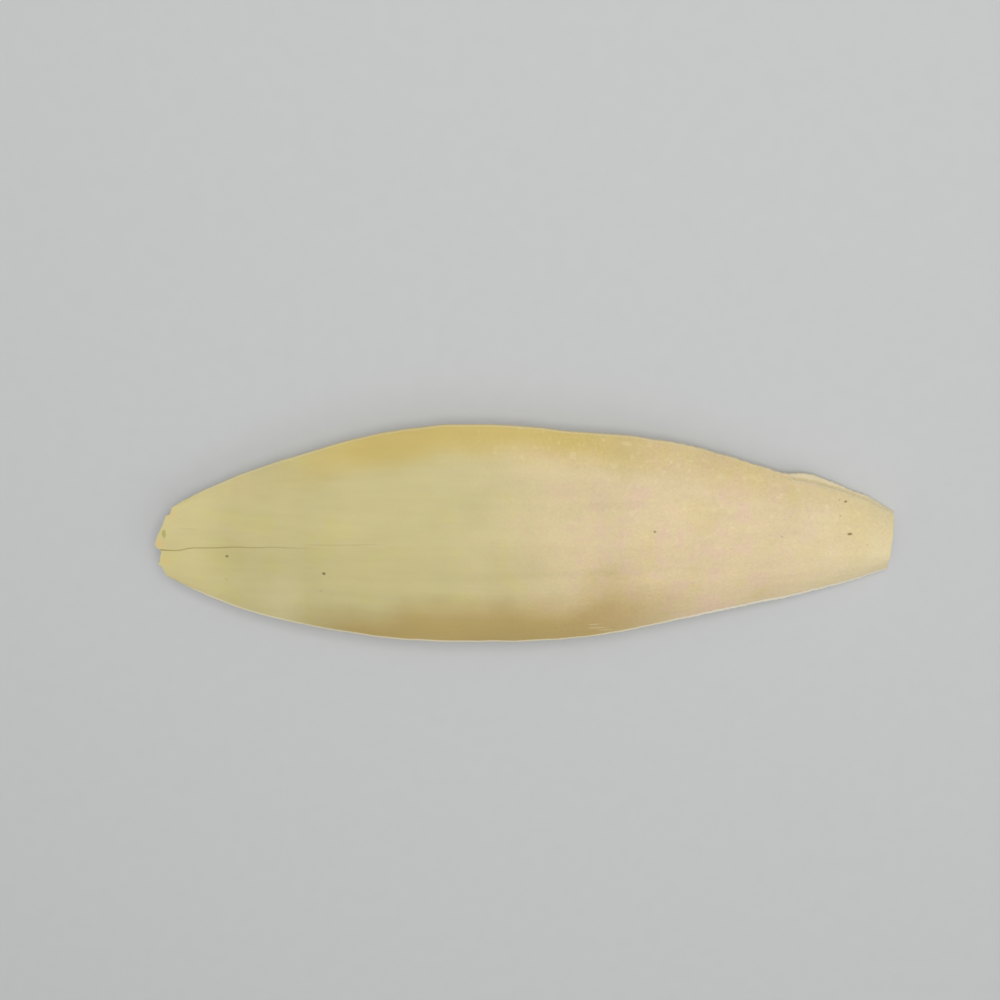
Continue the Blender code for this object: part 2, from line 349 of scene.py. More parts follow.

# The ledge with painted shade along its inner side beside the shield's step, the shield's edge above it, and
# the pale rim, partly a painted highlight: distances from the step or the outline.
STRIP_SPAN = (0.02, -0.04)
STRIP_STRENGTH = 0.48
LEDGE_SHADE_SPAN = (-0.75, -0.5)
LEDGE_SHADE_STRENGTH = 0.34
SHIELD_EDGE_SPAN = (0.35, 0.12)
SHIELD_EDGE_STRENGTH = 0.5
# The pale rim is partly the edge's own pale chalk and partly a painted highlight.
RIM_SPAN = (0.64, 0.44)
RIM_NARROWING_LEFT = 0.2
RIM_WIDENING_REAR = 0.3
RIM_AND_HIGHLIGHT_STRENGTH = 0.95
RIM_LOSS_LEFT = 0.65

# How the crack and the faint line show: distances to their sides, and stations along them.
CRACK_SIDES = (0.2, 0.05)
CRACK_FALL = (CRACK_LENGTH + 1, CRACK_LENGTH - 8)
CRACK_STRENGTH = 0.27
NOTCH_SPAN = (5, 1)
NOTCH_GAIN = 0.28
FAINT_LINE_SIDES = (0.22, 0.06)
FAINT_LINE_RISE = (31, 36)
FAINT_LINE_FALL = (52, 44)
FAINT_LINE_STRENGTH = 0.14

# How far the noises, the front tip and the rear right side shade the back (on the rear right side the
# brightening is painted light), and how far the noises raise it, in millimetres, and roughen it.
BLOTCH_SHADE = 0.16
STREAK_SHADE = 0.10
GRAIN_SHADES = (0.04, 0.24)
DUST_SHADES = (0.02, 0.12)
TIP_SPAN = (20, 8)
TIP_SHADE = 0.13
REAR_RIGHT_PAINTED_LIGHT = 0.05
GRAIN_RELIEFS = (0.012, 0.062)
DUST_RELIEFS = (0.004, 0.024)
STREAK_RELIEF = 0.02
PORE_DEPTH = 0.03
BACK_BUMP = 0.7
BACK_ROUGHNESSES = (0.56, 0.68)
MOTTLE_ROUGHNESS = 0.12

# The chalky body: lumps in metres, depths and heights in millimetres, grooves in shares of a line.
CHALK_BLOTCH_LUMP = 0.012
POWDER_LUMP = 0.0006
POWDER_SHARPNESS = 0.6
CHALK_DUST_LUMP = 0.0002
CREAM_CHALK = (0.80, 0.72, 0.54)
# The growth lines' grooves: painted shade under their small steps, with a slightly yellower tint.
GROOVE_SHADE_AND_TINT = (0.58, 0.47, 0.28)
SHIELD_SECTION = (0.55, 0.40, 0.18)
FLANGE_UNDERSIDE = (0.70, 0.56, 0.28)
BREAK_SPAN = (0.0, 0.05)
UNLINED_SPAN = (0.01, 0.0)
LINE_GROOVE_SPAN = (0.22, 0.02)
LINE_GROOVE_SHADE = 0.22
STEP_GROOVE_SPAN = (0.1, 0.01)
STEP_GROOVE_SHADE = 0.3
SHIELD_SPAN = (0.55, 0.3)
SHIELD_STRENGTH = 0.6
FLANGE_STRENGTH = 0.75
LAYER_WARP = 0.2
LAYER_RELIEF = 0.03
POWDER_SHADE = 0.14
POWDER_RELIEF = 0.06
CHALK_DUST_SHADE = 0.08
CHALK_DUST_RELIEF = 0.02
CHALK_BUMP = 0.8
CHALK_ROUGHNESS = 0.92
FLANGE_GLOSS = 0.22

# What the whole bone has alike: a little light passes under its surface.
BONE_SHADER = {
    "Subsurface Weight": 0.12,
    "Subsurface Scale": 0.0015,
    "Subsurface Radius": (1.0, 0.75, 0.45),
    "Specular IOR Level": 0.35,
}

# The photo's viewing angle: the camera looks down and leans towards the left side of the bone.
LENS_MM = 50.0
SENSOR_MM = 36.0
CAMERA_AIM = (-5.86, 7.81, 8.0)
CAMERA_DISTANCE = 295.1
CAMERA_LEAN = math.radians(14)

# The stage, in metres.
CLIP_START = 0.01
FLOOR_HALF_SIZE = 1.5
FLOOR_DROP = 0.05 * MM
FLOOR_GRAIN_LUMP = 0.004
FLOOR_GRAIN_GAIN = 1.04
FLOOR_ROUGHNESS = 0.85
KEY_PLACE = (0.05, 0.2, 0.7)
KEY_SIZE = 0.5
FILL_PLACE = (0.5, -0.3, 0.6)
FILL_SIZE = 0.6


def curve_through(stations):
    """A smooth function through given points, sloped at each as the gaps beside it suggest."""
    at, value = np.array(stations, float).T
    gap = np.diff(at)
    slope = np.diff(value) / gap
    middle = (slope[:-1] * gap[1:] + slope[1:] * gap[:-1]) / (gap[:-1] + gap[1:])
    tangent = np.concatenate([slope[:1], middle, slope[-1:]])

    def value_at(place):
        i = np.clip(np.searchsorted(at, place, side="right") - 1, 0, len(gap) - 1)
        x = np.clip((place - at[i]) / gap[i], 0, 1)
        start = (1 + 2 * x) * (1 - x) ** 2 * value[i] + x * (1 - x) ** 2 * gap[i] * tangent[i]
        end = x * x * (3 - 2 * x) * value[i + 1] + x * x * (x - 1) * gap[i] * tangent[i + 1]
        return start + end

    return value_at


def smooth_step(start, end, x):
    """0 where a span starts, 1 where it ends, and a smooth change between them."""
    t = np.clip((x - start) / (end - start), 0, 1)
    return t * t * (3 - 2 * t)


def hump(x, half_width):
    """A rounded hump of height 1 centred on 0."""
    return np.exp(-((x / half_width) ** 2))


def wander(x, y, length, noise_slice):
    """Smooth noise between about -1 and 1, with lumps about this long."""
    places = np.stack([x / length, y / length, np.full_like(x, noise_slice)], axis=-1)
    values = [noise.noise(Vector(place)) for place in places.reshape(-1, 3)]
    return np.array(values).reshape(x.shape)


left_edge = curve_through(LEFT_EDGE)
right_edge = curve_through(RIGHT_EDGE)
midline = curve_through(MIDLINE)
crest_height = curve_through(CREST_HEIGHT)
edge_height = curve_through(EDGE_HEIGHT)
belly_height = curve_through(BELLY_HEIGHT)
ledge_width = curve_through(LEDGE_WIDTHS)


def front_set_back(y):
    """How far the chipped front edge lies behind the foremost chip, by sideways place."""
    nicks = FRONT_NICK * wander(y, 0 * y, FRONT_NICK_LENGTH, FRONT_NICK_SLICE)
    return np.interp(y, *np.array(FRONT_CHIPS).T) + nicks


def back_set_back(side_share):
    """How far the broken back edge lies before the rearmost point, by share of the half width."""
    return np.interp(side_share, *np.array(BACK_BREAK).T)


def narrowing(half_width):
    """1 where the bone is wide, less near its ends, where the columns beside an edge draw together."""
    return np.minimum(1, half_width / FULL_HALF_WIDTH)


def row_shares(steps):
    """Shares of the length where the mesh has a row, and how many growth lines lie before each row."""
    front = GROWTH_START * (np.arange(FRONT_ROWS) / FRONT_ROWS) ** FRONT_CROWDING
    n_lines = steps * LINES_PER_STEP
    gaps = 1 + LINE_UNEVENNESS * np.random.default_rng(GROWTH_SEED).uniform(-1, 1, n_lines)
    starts = np.concatenate([[0], np.cumsum(gaps)]) / gaps.sum()
    lines = (np.arange(n_lines)[:, None] + np.array(LINE_ROWS)).ravel()
    growing = GROWTH_START + (GROWTH_END - GROWTH_START) * np.interp(lines, np.arange(n_lines + 1), starts)
    rear = np.linspace(GROWTH_END, 1, REAR_ROWS)
    share = np.concatenate([front, growing, rear])
    return share, np.concatenate([0 * front, lines, 0 * rear])


def ledge_in(station, half_width):
    """How far in from the outline the ledge's step lies, or would lie."""
    return ledge_width(station) * narrowing(half_width)


def column_shares(station, half_width):
    """Shares of the half width, from 0 at the midline to 1 at the edge, for each row."""
    narrow = narrowing(half_width)[:, None]
    middle = np.array(MIDDLE_COLUMNS) * narrow
    rounding = np.array(RIM_COLUMNS) * narrow
    ledge = ledge_in(station, half_width)[:, None]
    strip = rounding[:, :1] + (ledge - rounding[:, :1]) * np.array(STRIP_COLUMNS)
    rim = half_width[:, None] - np.concatenate([ledge + LEDGE_STEP * narrow, ledge, strip, rounding], axis=1)
    part = np.linspace(0, 1, BODY_COLUMNS + 2)[1:-1]
    body = middle[:, -1:] + (rim[:, :1] - middle[:, -1:]) * part
    return np.concatenate([middle, body, rim], axis=1) / half_width[:, None]


def edge_wander(x, sign, nick_depth):
    """How far the outline strays sideways: slow waves, and small nicks that grow towards the back end."""
    nicks = EDGE_NICK_FRONT + (nick_depth - EDGE_NICK_FRONT) * smooth_step(*EDGE_NICK_SPAN, x)
    slow = EDGE_WANDER * wander(x, 0 * x, EDGE_WANDER_LENGTH, EDGE_SLICE * sign)
    return slow + nicks * wander(x, 0 * x, EDGE_NICK_LENGTH, NICK_SLICE * sign)


def side_grid(share, sign, edge, corner, nick_depth):
    """One side of the outline's grid from the midline out: x, y, share of the half width, half width."""
    station = LENGTH * share
    chip_fade = np.clip(1 - station / FRONT_CHIP_REACH, 0, 1) ** 2
    break_fade = np.clip(1 - (LENGTH - station) / BACK_BREAK_REACH, 0, 1)
    edge_x = station + chip_fade * front_set_back(corner + 0 * station) - break_fade * back_set_back(sign)
    edge_y = edge(edge_x) + edge_wander(edge_x, sign, nick_depth)
    half_width = np.abs(edge_y - midline(station))
    t = column_shares(station, half_width)
    per_row = (station, chip_fade, break_fade, half_width)
    station, chip_fade, break_fade, half_width = (values[:, None] for values in per_row)
    front_y = MIDLINE[0][1] + (corner - MIDLINE[0][1]) * t
    x = station + chip_fade * front_set_back(front_y) - break_fade * back_set_back(sign * t)
    wave = CRACK_WAVE * wander(station, 0 * station, CRACK_WAVE_LENGTH, CRACK_SLICE)
    wave = wave * smooth_step(*CRACK_WAVE_SPAN, station)
    y = midline(station) + sign * half_width * t + wave * (1 - t)
    return x, y, t, half_width + 0 * t


def outline_grid(share, nick_depth):
    """The whole outline's grid, from its right edge to its left edge."""
    right = side_grid(share, -1, right_edge, RIGHT_EDGE[0][1], nick_depth)
    left = side_grid(share, 1, left_edge, LEFT_EDGE[0][1], nick_depth)
    return [np.concatenate([r[:, :0:-1], lft], axis=1) for r, lft in zip(right, left)]


def rim_rounding(from_edge):
    """How far a rounded edge falls away, by distance from the outline."""
    into = np.clip(RIM_ROUNDING - from_edge, 0, RIM_ROUNDING)
    return RIM_ROUNDING - np.sqrt(RIM_ROUNDING**2 - into**2)


def ledge_fade(station):
    """0 before the ledge, 1 where it has its full depth."""
    return smooth_step(LEDGE_START, LEDGE_FULL, station)


def back_surface(x, y, t, half_width):
    """Height of the hard back, without its ledge."""
    edge = edge_height(x)
    from_edge = (1 - t) * half_width
    z = edge + (crest_height(x) - edge) * (1 - t**ARCH_ROUNDNESS)
    fade = 1 - smooth_step(RIDGE_FADE_START, LENGTH, x)
    z = z + RIDGE_RISE * hump(y - midline(x), RIDGE_HALF_WIDTH) * smooth_step(*RIDGE_SPAN, x) * fade
    z = z - GROOVE_DROP * hump(t - GROOVE_PLACE, GROOVE_HALF_WIDTH) * smooth_step(*GROOVE_SPAN, x) * fade
    crack = np.clip(1 - t * half_width / CRACK_HALF_WIDTH, 0, 1)
    z = z - CRACK_DEPTH * smooth_step(*CRACK_DEPTH_SPAN, x) * crack
    return z - rim_rounding(from_edge)


def belly_surface(x, y, t, half_width):
    """Height of the underside with its furrow and ridges, and the shares of its relief and of its chalk."""
    along = x / LENGTH
    rim = RIM_THICKNESS_FRONT + (RIM_THICKNESS_BACK - RIM_THICKNESS_FRONT) * along**2
    widening = (FLANGE_WIDTH_BACK - FLANGE_WIDTH_FRONT) * smooth_step(*FLANGE_SPAN, along)
    flange = np.minimum(FLANGE_WIDTH_FRONT + widening, FLANGE_MOST * half_width)
    body_share = t * half_width / (half_width - flange)
    inside = np.clip(1 - body_share, 0, 1)
    on_body = smooth_step(*BODY_SPAN, inside)
    under_rim = edge_height(x) - rim
    z = under_rim - (under_rim - belly_height(x)) * (1 - (1 - inside) ** BELLY_ROUNDNESS)
    z = z + FURROW_DEPTH * hump(y - midline(x), FURROW_HALF_WIDTH) * smooth_step(*FURROW_SPAN, x) * on_body
    cone = hump(body_share - CONE_PLACE, CONE_HALF_WIDTH) * smooth_step(*CONE_SPAN, x)
    z = z - CONE_RISE * cone + rim_rounding((1 - t) * half_width)
    return z, on_body, smooth_step(*CHALK_SPAN, inside)


def belly_grid(share, x, y, t, half_width, sign):
    """The outline's grid with its rows bent forward along the growth lines, for the belly."""
    leaning = smooth_step(*LEAN_RISE, share) * smooth_step(*LEAN_FALL, share)
    lean = GROWTH_LEAN * np.cos(0.5 * math.pi * t) - GROWTH_DIP * hump(y - midline(x), FURROW_HALF_WIDTH)
    bent_x = x - lean * leaning
    bent_width = np.where(sign > 0, left_edge(bent_x), -right_edge(bent_x)) - sign * midline(bent_x)
    off_rim = 1 - smooth_step(*LEAN_RIM_SPAN, t)
    bent = smooth_step(0, FRONT_CHIP_REACH, LENGTH * share) * off_rim
    bent_width = half_width + (bent_width - half_width) * bent
    bent_y = y + (midline(bent_x) + sign * bent_width * t - y) * bent
    return x + (bent_x - x) * off_rim, bent_y, bent_width


def surfaces(steps, nick_depth):
    """The back and the belly as grids of named values: places in millimetres, and what finishes need."""
    share, lines = row_shares(steps)
    x, y, t, half_width = outline_grid(share, nick_depth)
    share = share[:, None] + 0 * x
    sign = np.where(np.arange(t.shape[1]) < t.shape[1] // 2, -1, 1) + 0 * t
    swell = SWELL_HEIGHT * wander(x, y, SWELL_LENGTH, SWELL_SLICE)
    station = LENGTH * share
    from_edge = (1 - t) * half_width
    from_step = from_edge - ledge_in(station, half_width) + (sign < 0) * FAR
    crest = back_surface(x, y, t, half_width) + swell
    crest = crest - LEDGE_DROP * ledge_fade(station) * (from_step < TOUCHING)
    back = {"x": x, "y": y, "z": crest, "from_middle": sign * t * half_width, "from_edge": from_edge}
    back |= {"from_step": from_step + (1 - ledge_fade(station)) * FAR}
    back |= {"growth": 0 * x, "lined": 0 * x, "on_back": 0 * x + 1, "on_body": 0 * x, "depth": 0 * x}
    x, y, half_width = belly_grid(share, x, y, t, half_width, sign)
    z, on_body, past_flange = belly_surface(x, y, t, half_width)
    z = np.maximum(z + BELLY_SWELL_SHARE * swell * (t < BELLY_SWELL_END), 0)
    lined = on_body * smooth_step(0, RUBBED_HEIGHT, z) * (share >= GROWTH_START) * (share < GROWTH_END)
    belly = {"x": x, "y": y, "z": z, "from_middle": sign * t * half_width, "from_edge": (1 - t) * half_width}
    belly |= {"from_step": 0 * x + FAR}
    belly |= {"growth": lines[:, None] + 0 * x, "lined": lined, "on_back": 0 * x, "on_body": past_flange}
    belly["depth"] = crest - z
    return back, belly


def around(grid):
    """A grid's border as one loop: along the right edge, the back end, the left edge and the front end."""
    return np.concatenate([grid[:, 0], grid[-1, 1:], grid[-2::-1, -1], grid[0, -2:0:-1]])


def at_the_ends(rows, columns):
    """1 on the border's stretches at the back and front ends, 0 along its sides."""
    ends = np.zeros((rows, columns))
    ends[0] = 1
    ends[-1] = 1
    return around(ends)


def wall_rings(back, belly):
    """Rings of the wall between the borders of the back and the belly, rough where the bone broke."""
    top = {name: around(values) for name, values in back.items()}
    bottom = {name: around(values) for name, values in belly.items()}
    broken = at_the_ends(*back["x"].shape)
    height = top["z"] - bottom["z"]
    outward = np.where(top["x"] < LENGTH / 2, -1, 1)
    rings = []
    for i in range(1, WALL_RINGS + 1):
        part = i / (WALL_RINGS + 1)
        ring = {name: top[name] * (1 - part) + bottom[name] * part for name in top}
        lumps = wander(ring["y"], ring["z"], BREAK_LUMP, LUMP_SLICE)
        layers = wander(ring["y"] * LAYER_SPACING / LAYER_LENGTH, ring["z"], LAYER_SPACING, LAYER_SLICE)
        amount = np.minimum(BREAK_ROUGHNESS, BREAK_ROUGHNESS_MOST * height)
        amount = amount * math.sin(math.pi * part) ** 0.5
        ring["x"] = ring["x"] + outward * broken * amount * (lumps + layers)
        ring["depth"] = part * height
        ring["on_back"] = 1 - broken
        ring["on_body"] = broken
        ring["lined"] = 0 * height
        rings.append(ring)
    return rings


def shell_mesh(steps, nick_depth):
    """The closed shell as a Blender mesh with named values on its points, and its shift to the frame."""
    back, belly = surfaces(steps, nick_depth)
    rings = wall_rings(back, belly)
    rows, columns = back["x"].shape
    index = np.arange(rows * columns).reshape(rows, columns)
    tiles = np.stack([index[:-1, :-1], index[1:, :-1], index[1:, 1:], index[:-1, 1:]], axis=-1).reshape(-1, 4)
    faces = [tiles, (tiles + index.size)[:, ::-1]]
    chalky = [np.zeros(len(tiles), bool), np.ones(len(tiles), bool)]
    loop = around(index)
    broken = at_the_ends(rows, columns) > 0
    broken = broken & np.roll(broken, -1)
    starts = 2 * index.size + len(loop) * np.arange(len(rings))
    loops = [loop, *(start + np.arange(len(loop)) for start in starts), loop + index.size]
    for upper, lower in zip(loops, loops[1:]):
        faces.append(np.stack([upper, lower, np.roll(lower, -1), np.roll(upper, -1)], axis=-1))
        chalky.append(broken)
    values = {name: np.concatenate([part[name].ravel() for part in (back, belly, *rings)]) for name in back}
    points = np.stack([values.pop("x"), values.pop("y"), values.pop("z")], axis=-1)
    low, high = points.min(axis=0), points.max(axis=0)
    box_low, box_high = (np.array(corner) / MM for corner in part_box(BONE_NODE))
    shift = (box_low + box_high - low - high) / 2
    shift[2] = box_low[2] - low[2]
    mesh = bpy.data.meshes.new("cuttlebone_shell")
    mesh.from_pydata(((points + shift) * MM).tolist(), [], np.concatenate(faces).tolist())
    for name, numbers in values.items():
        attribute = mesh.attributes.new(name, "FLOAT", "POINT")
        attribute.data.foreach_set("value", numbers.astype(np.float32))
    attribute = mesh.attributes.new("chalky", "BOOLEAN", "FACE")
    attribute.data.foreach_set("value", np.concatenate(chalky))
    mesh.shade_smooth()
    return mesh, shift


class Term:
    """A socket of a node tree that Python's arithmetic works on: each operator adds a Math node."""

    def __init__(self, tree, socket):
        self.tree = tree
        self.socket = socket

    def output(self, key):
        """Another output of the same node."""
        return Term(self.tree, self.tree.find(self.socket.node.outputs, key))

    def math(self, operation, *values):
        """A Math node on numbers and links."""
        return self.tree.node("ShaderNodeMath", {"operation": operation}, dict(enumerate(values)))

    def __add__(self, other):
        return self.math("ADD", self, other)

    def __mul__(self, other):
        return self.math("MULTIPLY", self, other)

    def __sub__(self, other):
        return self.math("SUBTRACT", self, other)

    def __rsub__(self, other):
        return self.math("SUBTRACT", other, self)

    def __truediv__(self, other):
        return self.math("DIVIDE", self, other)

    def __rtruediv__(self, other):
        return self.math("DIVIDE", other, self)

    def __abs__(self):
        return self.math("ABSOLUTE", self)

    def fraction(self):
        """What is left of the number past its whole part."""
        return self.math("FRACT", self)

    __radd__ = __add__
    __rmul__ = __mul__


def with_alpha(colour):
    """A plain colour with its alpha, as a node's socket takes it. A link stays as it is."""
    return colour if isinstance(colour, Term) else (*colour, 1.0)


class Tree:
    """Adds nodes to a shader or geometry node tree, all through one method."""

    def __init__(self, node_tree):
        self.node_tree = node_tree

    def node(self, kind, settings=None, inputs=None, output=0):
        """One node: its type, its settings, then a value or link for each socket. Returns an output."""
        node = self.node_tree.nodes.new(kind)
        for name, value in (settings or {}).items():
            setattr(node, name, value)
        self.fill(node, inputs or {})
        return Term(self, self.find(node.outputs, output))

    def fill(self, node, inputs):
        """Gives sockets of a node their values and links."""
        for key, value in inputs.items():
            socket = self.find(node.inputs, key)
            if isinstance(value, Term):
                self.node_tree.links.new(value.socket, socket)
            else:
                socket.default_value = value

    @staticmethod
    def find(sockets, key):
        """A socket by its number, its identifier or its name."""
        if isinstance(key, int):
            return sockets[key]
        return next(s for s in sockets if key in (s.identifier, s.name))

    def value(self, name):
        """A number that the mesh holds for each of its points, in a material."""
        return self.node("ShaderNodeAttribute", {"attribute_name": name}, output="Fac")

    def smooth(self, value, start, end):
        """0 where a span starts, 1 where it ends, and a smooth change between them."""
        inputs = {"Value": value, "From Min": start, "From Max": end}
        return self.node("ShaderNodeMapRange", {"interpolation_type": "SMOOTHSTEP"}, inputs)

    def stretched(self, place, stretch):
        """Coordinates scaled by a different amount along each axis."""
        return self.node("ShaderNodeVectorMath", {"operation": "MULTIPLY"}, {0: place, 1: stretch})

    def noise(self, place, lump, detail=2.0, rough=0.5):
        """Noise from 0 to 1 with lumps about this wide."""
        inputs = {"Vector": place, "Scale": 1 / lump, "Detail": detail, "Roughness": rough}
        return self.node("ShaderNodeTexNoise", {}, inputs)

    def cells(self, place, lump):
        """Distance from the middle of the nearest of many cells about this wide, in cell widths."""
        return self.node("ShaderNodeTexVoronoi", {"feature": "F1"}, {"Vector": place, "Scale": 1 / lump})

    def mix(self, factor, first, second):
        """Two colours mixed."""
        inputs = {"Factor_Float": factor, "A_Color": with_alpha(first), "B_Color": with_alpha(second)}
        return self.node("ShaderNodeMix", {"data_type": "RGBA"}, inputs, "Result_Color")

    def brightened(self, colour, factor):
        """A colour made brighter or darker by a number near 1."""
        return self.node("ShaderNodeVectorMath", {"operation": "SCALE"}, {0: colour, "Scale": factor})

    def bumped(self, strength, relief):
        """A normal tilted by a relief given in millimetres."""
        inputs = {"Strength": strength, "Distance": MM, "Height": relief}
        return self.node("ShaderNodeBump", {}, inputs, "Normal")

    def spot(self, x, y, ragged, middle, half_size, core):
        """1 inside an oval spot with a ragged edge, 0 outside it. A lower core gives a softer edge."""
        across = (x - middle[0]) / half_size[0]
        down = (y - middle[1]) / half_size[1]
        return self.smooth(across * across + down * down + ragged, SPOT_EDGE, core)


class BoneSettings(bpy.types.PropertyGroup):
    """Sizes and colours of the bone's finish."""

    growth_steps: IntProperty(
        name="Growth steps", description="Large steps across the belly", default=32, min=4
    )
    step_height: FloatProperty(
        name="Step height", description="Rise of a large growth step",
        default=0.00022, unit="LENGTH", precision=5,
    )
    line_height: FloatProperty(
        name="Line height", description="Rise of a fine growth line",
        default=0.00009, unit="LENGTH", precision=5,
    )
    granule_height: FloatProperty(
        name="Granule height", description="Rise of the rear back's lumps",
        default=0.00007, unit="LENGTH", precision=5,
    )
    granule_size: FloatProperty(
        name="Granule size", description="Width of the rear back's lumps",
        default=0.0016, unit="LENGTH", precision=5,
    )
    streak_height: FloatProperty(
        name="Streak height", description="Rise of the lengthwise streaks",
        default=0.00005, unit="LENGTH", precision=5,
    )
    nick_depth: FloatProperty(
        name="Nick depth", description="Depth of the rear edge's nicks",
        default=0.00016, unit="LENGTH", precision=5,
    )
    front_colour: FloatVectorProperty(
        name="Front", description="Smooth front of the back", subtype="COLOR", default=(0.655, 0.575, 0.28)
    )
    rear_colour: FloatVectorProperty(
        name="Rear", description="Granular rear of the back", subtype="COLOR", default=(0.79, 0.635, 0.385)
    )
    end_colour: FloatVectorProperty(
        name="Back end", description="Paler back end", subtype="COLOR", default=(0.87, 0.745, 0.455)
    )
    # Amber is partly the left margin's own tint and partly painted shade.
    amber_and_shade_colour: FloatVectorProperty(
        name="Amber", description="Warm left margin of the back", subtype="COLOR", default=(0.68, 0.52, 0.155)
    )
    # Tan is partly a real warm tint and partly painted shade, wherever it is used.
    tan_and_shade_colour: FloatVectorProperty(
        name="Tan", description="Warm right margin of the back", subtype="COLOR", default=(0.54, 0.39, 0.135)
    )
    # Along the edge, this pale colour is partly a painted highlight.
    rim_colour: FloatVectorProperty(
        name="Rim", description="Pale line along the edge", subtype="COLOR", default=(0.86, 0.78, 0.56)
    )
    speck_colour: FloatVectorProperty(
        name="Specks", description="Dark specks of the front", subtype="COLOR", default=(0.11, 0.085, 0.03)
    )
    rust_colour: FloatVectorProperty(
        name="Rusty specks", description="Specks of the rear", subtype="COLOR", default=(0.21, 0.085, 0.012)
    )
    crack_colour: FloatVectorProperty(
        name="Crack", description="Crack down the back", subtype="COLOR", default=(0.24, 0.15, 0.05)
    )
    chalk_colour: FloatVectorProperty(
        name="Chalk", description="Chalky belly", subtype="COLOR", default=(0.84, 0.79, 0.66)
    )


class StageSettings(bpy.types.PropertyGroup):
    """The floor and the lights."""

    floor_colour: FloatVectorProperty(
        name="Floor", description="Plain pale floor", subtype="COLOR", default=(0.61, 0.62, 0.62)
    )
    key_power: FloatProperty(
        name="Key light", description="Watts of the main light", default=2.95, unit="POWER"
    )
    fill_power: FloatProperty(
        name="Fill light", description="Watts of the fill light", default=0.65, unit="POWER"
    )
    sky_strength: FloatProperty(name="Sky", description="Strength of the even light", default=0.345, min=0)


def named_inputs(group, sizes):
    """Gives a node group its inputs, all numbers but the geometry, and its output."""
    group.interface.new_socket("Geometry", in_out="OUTPUT", socket_type="NodeSocketGeometry")
    group.interface.new_socket("Geometry", in_out="INPUT", socket_type="NodeSocketGeometry")
    for name, default in sizes.items():
        socket = group.interface.new_socket(name, in_out="INPUT", socket_type="NodeSocketFloat")
        socket.default_value = default


def relief_tree(sizes, back_finish, chalk_finish):
    """The nodes that raise growth lines, granules and streaks, and give each side its material."""
    group = bpy.data.node_groups.new("bone_relief", "GeometryNodeTree")
    group.is_modifier = True
    named_inputs(group, sizes)
    tree = Tree(group)
    entry = group.nodes.new("NodeGroupInput")
    given = {socket.name: Term(tree, socket) for socket in entry.outputs if socket.name}

    def held(name, kind="FLOAT"):
        return tree.node("GeometryNodeInputNamedAttribute", {"data_type": kind}, {"Name": name}, "Attribute")

    def seeded_noise(place, lump, detail):
        inputs = {"Vector": place, "W": given["Seed"], "Scale": 1 / lump, "Detail": detail}
        return tree.node("ShaderNodeTexNoise", {"noise_dimensions": "4D"}, inputs)

    place = tree.node("GeometryNodeInputPosition")
    growth = held("growth")
    on_back = held("on_back")
    x = tree.node("ShaderNodeSeparateXYZ", {}, {"Vector": place}, "X")
    rear = tree.smooth(x, *GRANULE_SPAN)
    steps = ((growth / LINES_PER_STEP).fraction() - 0.5) * given["Step height"]
    uneven = seeded_noise(place, LINE_LUMP, PLAIN_DETAIL) * 2
    lines = (growth.fraction() - 0.5) * given["Line height"] * uneven
    granules = (seeded_noise(place, given["Granule size"], 2.0) - 0.5) * given["Granule height"] * 2
    along_streaks = tree.stretched(place, RAISED_STREAK_STRETCH)
    streaks = seeded_noise(along_streaks, RAISED_STREAK_LUMP, PLAIN_DETAIL) - 0.5
    streaks = streaks * given["Streak height"] * 2
    relief = held("lined") * (steps + lines) + on_back * (rear * granules + (1 - rear) * streaks)
    normal = tree.node("GeometryNodeInputNormal")
    offset = tree.node("ShaderNodeVectorMath", {"operation": "SCALE"}, {0: normal, "Scale": relief})
    shaped = tree.node("GeometryNodeSetPosition", {}, {"Geometry": given["Geometry"], "Offset": offset})
    whole = tree.node("GeometryNodeRealizeInstances", {}, {"Geometry": shaped})
    backed = tree.node("GeometryNodeSetMaterial", {}, {"Geometry": whole, "Material": back_finish})
    ending = {"Geometry": backed, "Selection": held("chalky", "BOOLEAN"), "Material": chalk_finish}
    finished = tree.node("GeometryNodeSetMaterial", {}, ending)
    leave = group.nodes.new("NodeGroupOutput")
    group.links.new(finished.socket, leave.inputs["Geometry"])
    return group


def plain_copy(holder, name):
    """An object's evaluated shape as a new plain object, in place of the first."""
    evaluated = holder.evaluated_get(bpy.context.evaluated_depsgraph_get())
    mesh = bpy.data.meshes.new_from_object(evaluated)
    bpy.data.objects.remove(holder)
    piece = bpy.data.objects.new(name, mesh)
    bpy.context.collection.objects.link(piece)
    return piece


def new_material(name):
    """A material with its node tree and its Principled shader."""
    material = bpy.data.materials.new(name)
    material.use_nodes = True
    return material, Tree(material.node_tree), material.node_tree.nodes["Principled BSDF"]


